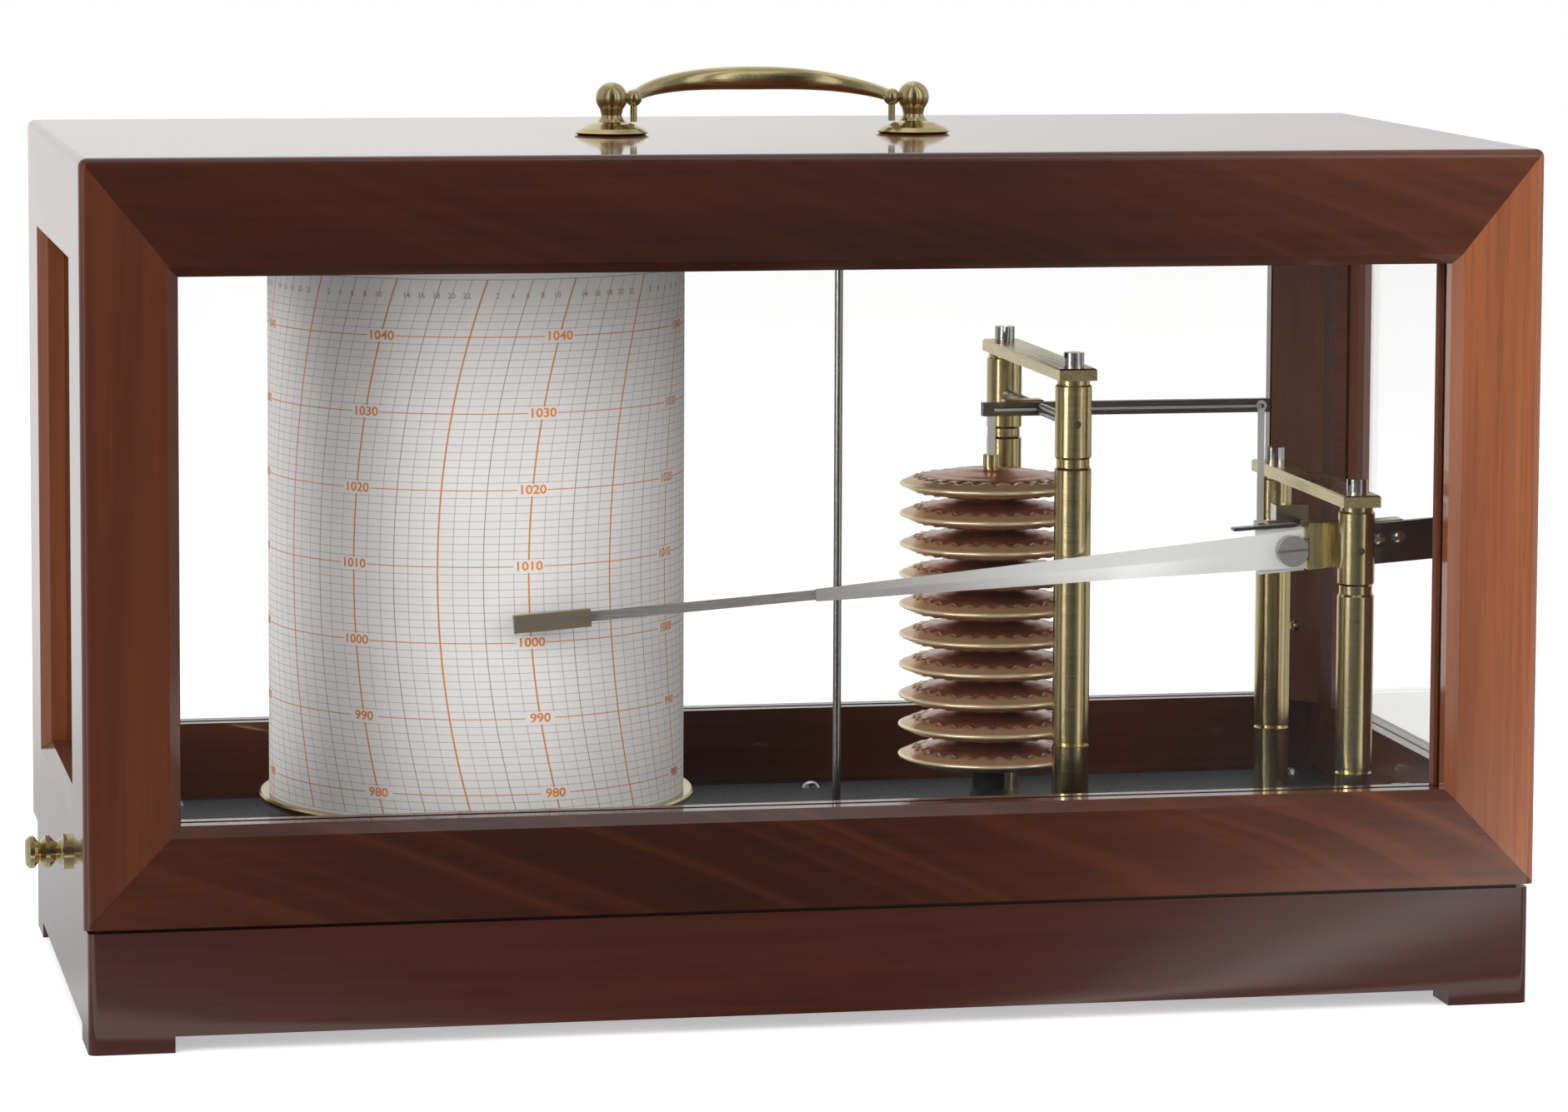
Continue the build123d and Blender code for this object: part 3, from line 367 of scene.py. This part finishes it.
def figure_mesh(text, height):
    """Flat outlines of a number, as points and faces about its middle."""
    digit_share = 0.69
    boldness = 0.03
    curve = bpy.data.curves.new("number", "FONT")
    curve.body = text
    curve.size = height / digit_share
    curve.align_x = "CENTER"
    curve.align_y = "CENTER"
    curve.resolution_u = 3
    curve.offset = height * boldness
    holder = bpy.data.objects.new("number", curve)
    mesh = bpy.data.meshes.new_from_object(holder)
    points = [vertex.co.copy() for vertex in mesh.vertices]
    faces = [tuple(face.vertices) for face in mesh.polygons]
    bpy.data.objects.remove(holder)
    bpy.data.curves.remove(curve)
    bpy.data.meshes.remove(mesh)
    return points, faces


def new_object(name, points, faces, material):
    mesh = bpy.data.meshes.new(name)
    mesh.from_pydata(points, [], faces)
    mesh.update()
    mesh.materials.append(material)
    made = bpy.data.objects.new(name, mesh)
    bpy.context.scene.collection.objects.link(made)
    return made


def new_piece(name, points, faces, material, body, slot):
    piece = new_object(name, points, faces, material)
    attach(piece, body)
    return piece


def wrapped(places, height, spread):
    """Numbers laid on the paper at (text, run, z) places, with their widths stretched by spread."""
    ink_height = 0.00005
    points = []
    faces = []
    shapes = {}
    for text, run, z in places:
        if text not in shapes:
            shapes[text] = figure_mesh(text, height)
        flat_points, flat_faces = shapes[text]
        first = len(points)
        for point in flat_points:
            angle = clip_angle + (run + point.x * spread) / paper_radius
            radius = paper_radius + ink_height
            points.append((drum_x + radius * cos(angle), drum_y + radius * sin(angle), z + point.y))
        faces.extend(tuple(first + index for index in face) for face in flat_faces)
    return points, faces


def chart_figures():
    """The pressures at each noon, and the hours along the top, for each day that the paper holds."""
    ink = paint("figure_ink", ink_orange, 0.7)
    pale_ink = paint("hour_ink", (0.42, 0.26, 0.22), 0.7)
    labels = []
    hours = []
    for number in range(-4, 5):
        for row in range(label_rows):
            z = top_label - row * label_step
            run = midnight + number * day + 12 * hour + time_shift(z)
            if print_start + label_half_width < run < print_end - label_half_width:
                labels.append((str(top_pressure - 10 * row), run, z))
        for mark in range(2, 24, 2):
            run = midnight + number * day + mark * hour + time_shift(figure_row)
            if mark != 12 and print_start + hour_margin < run < print_end - hour_margin:
                hours.append((str(mark), run, figure_row))
    new_piece("chart_pressures", *wrapped(labels, label_height, label_spread), ink, "drum", "chart")
    new_piece("chart_hours", *wrapped(hours, hour_height, 1.0), pale_ink, "drum", "chart")


# Capsules: copper-brown cones with bright rims and a waved ring with a painted highlight along it, in place
# of the plain discs
stack_low, stack_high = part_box("capsules")
stack_x = (stack_low.x + stack_high.x) / 2
stack_y = (stack_low.y + stack_high.y) / 2
capsule_radius = (stack_high.x - stack_low.x) / 2
capsule_count = 10
capsule_pitch = (stack_high.z - stack_low.z) / capsule_count
wave_count = 26
# Shares of the radius, and heights above the rim as shares of half the pitch
capsule_profile = [(1.0, 0.0), (0.996, 0.07), (0.98, 0.12), (0.95, 0.18), (0.91, 0.29), (0.88, 0.38),
                   (0.85, 0.44), (0.83, 0.46), (0.80, 0.47), (0.77, 0.48), (0.74, 0.50), (0.70, 0.60),
                   (0.66, 0.64), (0.62, 0.65), (0.56, 0.74), (0.50, 0.82), (0.44, 0.84), (0.38, 0.93),
                   (0.28, 0.94), (0.26, 1.0)]
wave_start = 0.76
wave_end = 0.84
wave_middle = 0.80
wave_height = 0.0003


def capsule_skin():
    shader = Shader("capsule_metal")
    x, y, _ = shader.xyz()
    across = shader.math("SUBTRACT", x, stack_x)
    back = shader.math("SUBTRACT", y, stack_y)
    out = shader.math("SQRT", shader.math("ADD", shader.math("MULTIPLY", across, across),
                                          shader.math("MULTIPLY", back, back)))
    share = shader.math("DIVIDE", out, capsule_radius)
    angle = shader.math("ARCTAN2", back, across)
    wave = shader.math("SINE", shader.math("MULTIPLY", angle, wave_count))
    crest = shader.math("ADD", share, shader.math("MULTIPLY", wave, 0.02))
    off_painted_highlight = shader.math("ABSOLUTE", shader.math("SUBTRACT", crest, wave_middle))
    cloud = shader.noise(shader.scaled((160.0, 160.0, 160.0)), detail=3.0)
    copper = shader.mix(shader.fit(cloud, 0.3, 0.7), (0.52, 0.20, 0.11), (0.38, 0.13, 0.07))
    tone = shader.mix(shader.fit(crest, wave_middle, 0.88), copper, (0.66, 0.42, 0.24))
    # Painted highlight: a pale golden-white line along the waved ring, standing in for the light its
    # corrugation catches
    tone = shader.mix(shader.fit(off_painted_highlight, 0.014, 0.026, 1.0, 0.0), tone, (1.0, 0.93, 0.74))
    tone = shader.mix(shader.fit(share, 0.96, 0.985), tone, (0.98, 0.82, 0.54))
    shader.set(base_color=tone, metallic=0.65)
    shader.set(roughness=shader.fit(cloud, 0.3, 0.7, 0.2, 0.26))
    shader.bump(cloud, 0.01, 0.0002)
    return shader.material


def capsule_stack():
    """Rings of points up the stack, waved where each capsule's face is waved."""
    around = 8 * wave_count
    half = capsule_pitch / 2
    rings = []
    for number in range(capsule_count):
        middle = stack_low.z + (number + 0.5) * capsule_pitch
        lower = [(share, -rise) for share, rise in capsule_profile[::-1]]
        for share, rise in lower + capsule_profile[1:]:
            waved = wave_height if wave_start < share < wave_end else 0.0
            rings.append((share * capsule_radius, middle + rise * half, waved if rise > 0 else -waved))
    points = []
    faces = []
    for row, (radius, z, waved) in enumerate(rings):
        for step in range(around):
            angle = 2 * pi * step / around
            points.append((stack_x + radius * cos(angle), stack_y + radius * sin(angle),
                           z + waved * sin(wave_count * angle)))
            if row:
                here = row * around
                last = here - around
                turn = (step + 1) % around
                faces.append((last + step, last + turn, here + turn, here + step))
    faces.append(tuple(range(around))[::-1])
    faces.append(tuple(range(len(points) - around, len(points))))
    piece = new_object("capsule_stack", points, faces, capsule_skin())
    piece.data.polygons.foreach_set("use_smooth", [True] * len(faces))
    piece.data.update()
    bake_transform(piece)
    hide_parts("capsules")


# Small pieces of the lever train
def block(name, low, high, bevel, material, body, slot):
    """A box with bevelled edges, from its lowest to its highest corner."""
    points = [(x, y, z) for x in (low[0], high[0]) for y in (low[1], high[1]) for z in (low[2], high[2])]
    faces = [(0, 1, 3, 2), (4, 6, 7, 5), (0, 4, 5, 1), (2, 3, 7, 6), (0, 2, 6, 4), (1, 5, 7, 3)]
    piece = new_piece(name, points, faces, material, body, slot)
    soften = piece.modifiers.new("bevel", "BEVEL")
    soften.width = bevel
    soften.segments = 2
    return piece


# Materials of the CAD nodes
mahogany = ((0.170, 0.043, 0.011), (0.115, 0.027, 0.007), (0.060, 0.013, 0.004))
rail_mahogany = ((0.066, 0.013, 0.003), (0.038, 0.007, 0.002), (0.016, 0.003, 0.001))
dark_mahogany = ((0.110, 0.029, 0.011), (0.078, 0.019, 0.008), (0.042, 0.010, 0.005))
red_mahogany = ((0.062, 0.013, 0.006), (0.043, 0.008, 0.004), (0.023, 0.004, 0.002))
pale_mahogany = ((0.270, 0.100, 0.055), (0.200, 0.070, 0.038), (0.110, 0.036, 0.020))
brass_colour = (0.66, 0.545, 0.29)
nickel_colour = (0.62, 0.61, 0.60)

finishes = [
    # The front rails are painted paler towards their right-hand ends: painted light
    (wood("rail_wood", "x", *rail_mahogany, flame=0.7, painted_light=(0.03, 0.17, (2.2, 2.8, 3.5))),
     ["hood_front_rails"]),
    (wood("rear_rail_wood", "x", *dark_mahogany), ["hood_rear_rails"]),
    # The right front stile is painted paler than the left: painted light
    (wood("front_stile_wood", "z", *mahogany, painted_light=(0.05, 0.19, (1.8, 2.2, 3.0))), ["hood_front_stiles"]),
    (wood("stile_wood", "z", *mahogany), ["hood_rear_stiles", "hood_end_stiles"]),
    (wood("end_rail_wood", "y", *dark_mahogany), ["hood_end_rails"]),
    (wood("top_wood", "x", *mahogany, shift=(0.3, 0.1, 0.7)), ["top_board"]),
    (wood("batten_wood", "z", *pale_mahogany, shift=(0.5, 0.2, 0.1)), ["corner_battens"]),
    (wood("bead_wood", "x", *dark_mahogany, shift=(0.2, 0.6, 0.4)), ["glazing_beads"]),
    (wood("skirt_wood", "x", *red_mahogany, shift=(0.8, 0.3, 0.5)), ["base_long_boards", "base_board"]),
    (wood("skirt_end_wood", "y", *red_mahogany, shift=(0.1, 0.9, 0.2)), ["base_end_boards"]),
    (pane("pane_glass"), ["front_glass", "rear_glass", "end_glass"]),
    (paint("plate_enamel", (0.010, 0.012, 0.018), 0.4), ["instrument_plate"]),
    (paint("foot_black", (0.02, 0.019, 0.018), 0.4), ["capsule_foot"]),
    (turned_metal("turned_brass", brass_colour), ["tall_bridge_posts", "short_bridge_posts", "capsule_stem",
                                                  "drum_flange", "clock_case", "drum_nut", "lifter_bush"]),
    (metal("bar_brass", brass_colour, "y", rough=0.24), ["tall_bridge_bar", "short_bridge_bar",
                                                         "lever_hub", "hood_catches"]),
    (metal("block_brass", brass_colour, "x", rough=0.25), ["arm_clamp"]),
    (metal("holder_brass", (0.62, 0.53, 0.39), "x", rough=0.34), ["pen_holder"]),
    (metal("cast_brass", brass_colour, "x", rough=0.16, marks=0.03, spots=0.3),
     ["handle_posts", "handle_nuts", "handle_bail", "left_thumbscrew", "right_thumbscrew",
      "thumbscrew_bushes", "batten_screws"]),
    (metal("nickel", nickel_colour, "x", rough=0.16, marks=0.04),
     ["plate_screws", "bridge_screws", "counterweight_screws", "chart_clip", "pen_crank"]),
    (metal("arm_screw_nickel", (0.42, 0.41, 0.40), "z", rough=0.12, marks=0.03, shine=0.6), ["arm_screw"]),
    (metal("dark_steel", (0.24, 0.225, 0.22), "x", rough=0.2), ["lever_arm", "lever_arbor", "pen_arbor",
                                                               "counterweight", "gate_pin"]),
    (metal("bright_steel", (0.78, 0.78, 0.77), "z", rough=0.2, shine=0.4),
     ["short_link", "long_link", "gate_leaf", "pen_nib"]),
    (turned_metal("rod_steel", (0.42, 0.40, 0.39)), ["lifter_rod", "drum_spindle"]),
    # The arm plate runs from dark grey to near white along X: a painted reflection
    (shaded_metal("arm_aluminium", -0.02, 0.09, (0.30, 0.285, 0.275), (1.0, 0.995, 0.985), 0.2),
     ["arm_plate"]),
    (metal("strip_steel", (0.36, 0.34, 0.33), "x", rough=0.25, shine=0.6), ["pen_arm"]),
    (metal("drum_metal", (0.66, 0.65, 0.63), "x", rough=0.35), ["drum_shell"]),
    (chart(), ["chart_paper"]),
]


def lever_fork():
    """The lever is a pair of bars, one above the other: a bright line along its front shows their gap."""
    low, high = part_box("lever_arm")
    middle = (low.z + high.z) / 2
    half_height = 0.00035
    end = 0.0026
    proud = 0.00015
    bevel = 0.00006
    rib = metal("lever_rib", (0.66, 0.63, 0.61), "x", rough=0.16, shine=0.5)
    block("lever_bright_line", (low.x + end, low.y - proud, middle - half_height),
          (high.x - end, low.y + proud, middle + half_height), bevel, rib, "lever", "steel")


def lever_hub():
    """The brass block of the lever, no taller than the lever itself, on the arbor."""
    low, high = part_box("lever_hub")
    arm_low, arm_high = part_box("lever_arm")
    rise = 0.0003
    inset = 0.001
    bevel = 0.0003
    brass = metal("hub_brass", (0.50, 0.41, 0.22), "x", rough=0.26)
    hub = block("lever_block", (low.x + inset, low.y, arm_low.z - rise),
                (high.x - inset, high.y, arm_high.z + rise), bevel, brass, "lever", "brass")
    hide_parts("lever_hub")


def gate_plates():
    """Brass plates on the back and the front of the clamp, which close the gate's gap."""
    low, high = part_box("arm_clamp")
    thickness = 0.0006
    inset = 0.0006
    face_thickness = 0.00035
    face_left = 0.0009
    face_width = 0.0095
    bevel = 0.0002
    face_bevel = 0.0001
    backing_brass = metal("backing_brass", (0.42, 0.35, 0.20), "x", rough=0.3)
    face_brass = metal("face_brass", (0.62, 0.51, 0.29), "z", rough=0.26)
    block("gate_backing", (low.x + inset, high.y, low.z + inset),
          (high.x - inset, high.y + thickness, high.z - inset), bevel, backing_brass, "pen_lever", "brass")
    left = low.x + face_left
    block("gate_face", (left, low.y - face_thickness, low.z + inset),
          (left + face_width, low.y, high.z - inset), face_bevel, face_brass, "pen_lever", "brass")


def gate_blade():
    """The dark folded edge of the gate, which stands above the arm and rises towards the clamp."""
    leaf_low, leaf_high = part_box("gate_leaf")
    length = 0.0158
    thickness = 0.0008
    rise = 0.0009
    overhang = 0.0058
    bevel = 0.0001
    left = leaf_low.x - overhang
    bottom = leaf_high.z - thickness
    steel = metal("blade_steel", (0.13, 0.12, 0.115), "x", rough=0.25)
    blade = block("gate_blade", (left, leaf_low.y, bottom), (left + length, leaf_high.y, bottom + thickness),
                  bevel, steel, "pen_gate", "steel")
    for vertex in blade.data.vertices:
        vertex.co.z += rise * (vertex.co.x - left) / length


def dress():
    for material, names in finishes:
        for name in names:
            mesh = nodes[name].data
            mesh.materials.clear()
            mesh.materials.append(material)


# Studio: floor, world, lamps and camera
def plain_math(tree, operation, a, b=0.0):
    node = tree.nodes.new("ShaderNodeMath")
    node.operation = operation
    for value, socket in zip((a, b), node.inputs):
        if isinstance(value, bpy.types.NodeSocket):
            tree.links.new(value, socket)
        else:
            socket.default_value = value
    return node.outputs[0]


def plain_range(tree, value, low, high, to_low, to_high):
    node = tree.nodes.new("ShaderNodeMapRange")
    node.interpolation_type = "SMOOTHSTEP"
    tree.links.new(value, node.inputs[0])
    for level, socket in zip((low, high, to_low, to_high), node.inputs[1:5]):
        socket.default_value = level
    return node.outputs[0]


def between_levels(tree, share, low, high):
    """low where share is 0, high where it is 1."""
    kept = plain_math(tree, "MULTIPLY", plain_math(tree, "SUBTRACT", 1.0, share), low)
    return plain_math(tree, "ADD", plain_math(tree, "MULTIPLY", share, high), kept)


# Turns from the front in degrees, and how bright the studio looks there in a mirror
mirror_bands = [(-180, 0.95), (-165, 0.9), (-145, 0.62), (-100, 0.5), (-85, 0.6), (-68, 0.3), (-50, 0.2),
                (-43, 0.95), (-29, 0.95), (-23, 0.24), (-10, 0.08), (0, 0.05), (8, 0.07), (12, 0.2),
                (16, 0.7), (20, 1.4), (26, 0.4), (32, 0.2), (38, 1.0), (50, 1.0), (57, 0.25), (72, 0.3),
                (90, 0.6), (120, 0.5), (150, 0.6), (163, 0.8), (172, 0.95), (180, 0.95)]


def seen_straight(tree):
    """Two sockets: 1 for what the camera sees past or through glass, and 1 for what a mirror shows it."""
    path = tree.nodes.new("ShaderNodeLightPath")
    mirror = plain_math(tree, "GREATER_THAN", path.outputs["Glossy Depth"], 0.5)
    diffuse = plain_math(tree, "GREATER_THAN", path.outputs["Diffuse Depth"], 0.5)
    other = plain_math(tree, "SUBTRACT", 1.0, plain_math(tree, "MAXIMUM", mirror, diffuse))
    through = plain_math(tree, "MAXIMUM", path.outputs["Is Camera Ray"], path.outputs["Is Transmission Ray"])
    return plain_math(tree, "MULTIPLY", through, other), mirror


def mirrored_level(tree, x, y):
    """Brightness in the direction of (x, y) from the object, in bands that metals show as streaks."""
    turn = plain_math(tree, "ARCTAN2", x, plain_math(tree, "MULTIPLY", y, -1.0))
    share = plain_math(tree, "ADD", plain_math(tree, "DIVIDE", turn, 2 * pi), 0.5)
    bands = tree.nodes.new("ShaderNodeValToRGB")
    bands.color_ramp.interpolation = "EASE"
    ramp = bands.color_ramp
    for angle, level in mirror_bands:
        if abs(angle) < 180:
            element = ramp.elements.new(angle / 360 + 0.5)
        else:
            element = ramp.elements[0 if angle < 0 else -1]
        element.color = (level, level, level, 1.0)
    tree.links.new(share, bands.inputs[0])
    return bands.outputs[0]


def make_floor():
    """A pale floor that the camera sees as white but for the shadow, and that metals mirror in bands.

    In front of the case the bands are drawn together, so the front boards mirror the dark middle.
    """
    half = 4.0
    front = (-0.12, -0.08)
    narrowing = 0.4
    corners = [(-half, -half, 0), (half, -half, 0), (half, half, 0), (-half, half, 0)]
    material = bpy.data.materials.new("floor")
    material.use_nodes = True
    tree = material.node_tree
    tree.nodes.clear()
    output = tree.nodes.new("ShaderNodeOutputMaterial")
    matt = tree.nodes.new("ShaderNodeBsdfDiffuse")
    matt.inputs["Color"].default_value = (0.8, 0.8, 0.8, 1.0)
    glow = tree.nodes.new("ShaderNodeEmission")
    glow.inputs["Strength"].default_value = 0.45
    white = tree.nodes.new("ShaderNodeAddShader")
    tree.links.new(matt.outputs[0], white.inputs[0])
    tree.links.new(glow.outputs[0], white.inputs[1])
    straight, mirror = seen_straight(tree)
    split = tree.nodes.new("ShaderNodeSeparateXYZ")
    place = tree.nodes.new("ShaderNodeTexCoord").outputs["Object"]
    tree.links.new(place, split.inputs[0])
    image = tree.nodes.new("ShaderNodeEmission")
    across, back, _ = split.outputs
    narrowed = plain_range(tree, back, *front, narrowing, 1.0)
    across = plain_math(tree, "MULTIPLY", across, narrowed)
    tree.links.new(mirrored_level(tree, across, back), image.inputs["Strength"])
    seen = mixed_shaders(tree, straight, matt.outputs[0], white.outputs[0])
    either = mixed_shaders(tree, mirror, seen, image.outputs[0])
    tree.links.new(either, output.inputs["Surface"])
    floor_object = new_object("floor", corners, [(0, 1, 2, 3)], material)


def make_world():
    """White where the camera looks, bright bands and darker gaps in what metals mirror, and a soft fill."""
    fill = 0.8
    overhead = 0.25
    world = bpy.data.worlds.new("studio")
    bpy.context.scene.world = world
    world.use_nodes = True
    tree = world.node_tree
    tree.nodes.clear()
    output = tree.nodes.new("ShaderNodeOutputWorld")
    sky = tree.nodes.new("ShaderNodeBackground")
    sky.inputs["Color"].default_value = (1.0, 1.0, 1.0, 1.0)
    tree.links.new(sky.outputs[0], output.inputs[0])
    place = tree.nodes.new("ShaderNodeTexCoord").outputs["Generated"]
    split = tree.nodes.new("ShaderNodeSeparateXYZ")
    tree.links.new(place, split.inputs[0])
    x, y, z = split.outputs
    above = plain_range(tree, z, 0.35, 0.75, 0.0, overhead)
    mirrored = plain_math(tree, "MAXIMUM", mirrored_level(tree, x, y), above)
    straight, mirror = seen_straight(tree)
    level = between_levels(tree, mirror, fill, mirrored)
    level = between_levels(tree, straight, level, 1.0)
    tree.links.new(level, sky.inputs["Strength"])


def make_lamp(name, place, target, size, power):
    """A square lamp that metals and glass don't mirror."""
    lamp = bpy.data.lights.new(name, "AREA")
    lamp.shape = "SQUARE"
    lamp.size = size
    lamp.energy = power
    holder = bpy.data.objects.new(name, lamp)
    holder.location = place
    direction = Vector(target) - Vector(place)
    holder.rotation_euler = direction.to_track_quat("-Z", "Y").to_euler()
    holder.visible_glossy = False
    bpy.context.scene.collection.objects.link(holder)


def make_camera():
    """The photograph's camera, from its place, its turn and its lens."""
    yaw, pitch, roll = 0.2100, -0.0995, 0.0060
    forward = Vector((sin(yaw) * cos(pitch), cos(yaw) * cos(pitch), sin(pitch)))
    level_right = Vector((cos(yaw), -sin(yaw), 0.0))
    level_up = level_right.cross(forward)
    right = cos(roll) * level_right + sin(roll) * level_up
    up = -sin(roll) * level_right + cos(roll) * level_up
    turn = Matrix((right, up, -forward)).transposed().to_4x4()
    camera = bpy.data.cameras.new("camera")
    camera.lens = 137.44
    camera.sensor_width = 36.0
    camera.sensor_fit = "HORIZONTAL"
    camera.shift_x = -0.0632
    camera.shift_y = -0.0996
    camera.clip_start = 0.01
    holder = bpy.data.objects.new("camera", camera)
    holder.matrix_world = Matrix.Translation((-0.2793, -1.4548, 0.2898)) @ turn
    bpy.context.scene.collection.objects.link(holder)
    bpy.context.scene.camera = holder


dress()
chart_figures()
capsule_stack()
lever_fork()
lever_hub()
gate_plates()
gate_blade()
make_floor()
make_world()
make_lamp("key", (-1.1, -1.3, 1.3), (0.0, 0.0, 0.1), 0.9, 10.0)
make_lamp("fill", (1.4, -1.1, 0.8), (0.0, 0.0, 0.1), 0.9, 9.0)
make_lamp("side", (-1.5, -0.9, 0.35), (0.15, 0.03, 0.12), 0.7, 12.0)
make_lamp("top", (0.0, 0.3, 1.7), (0.0, 0.0, 0.1), 1.2, 8.0)
make_camera()
bpy.context.scene.view_settings.view_transform = "Standard"
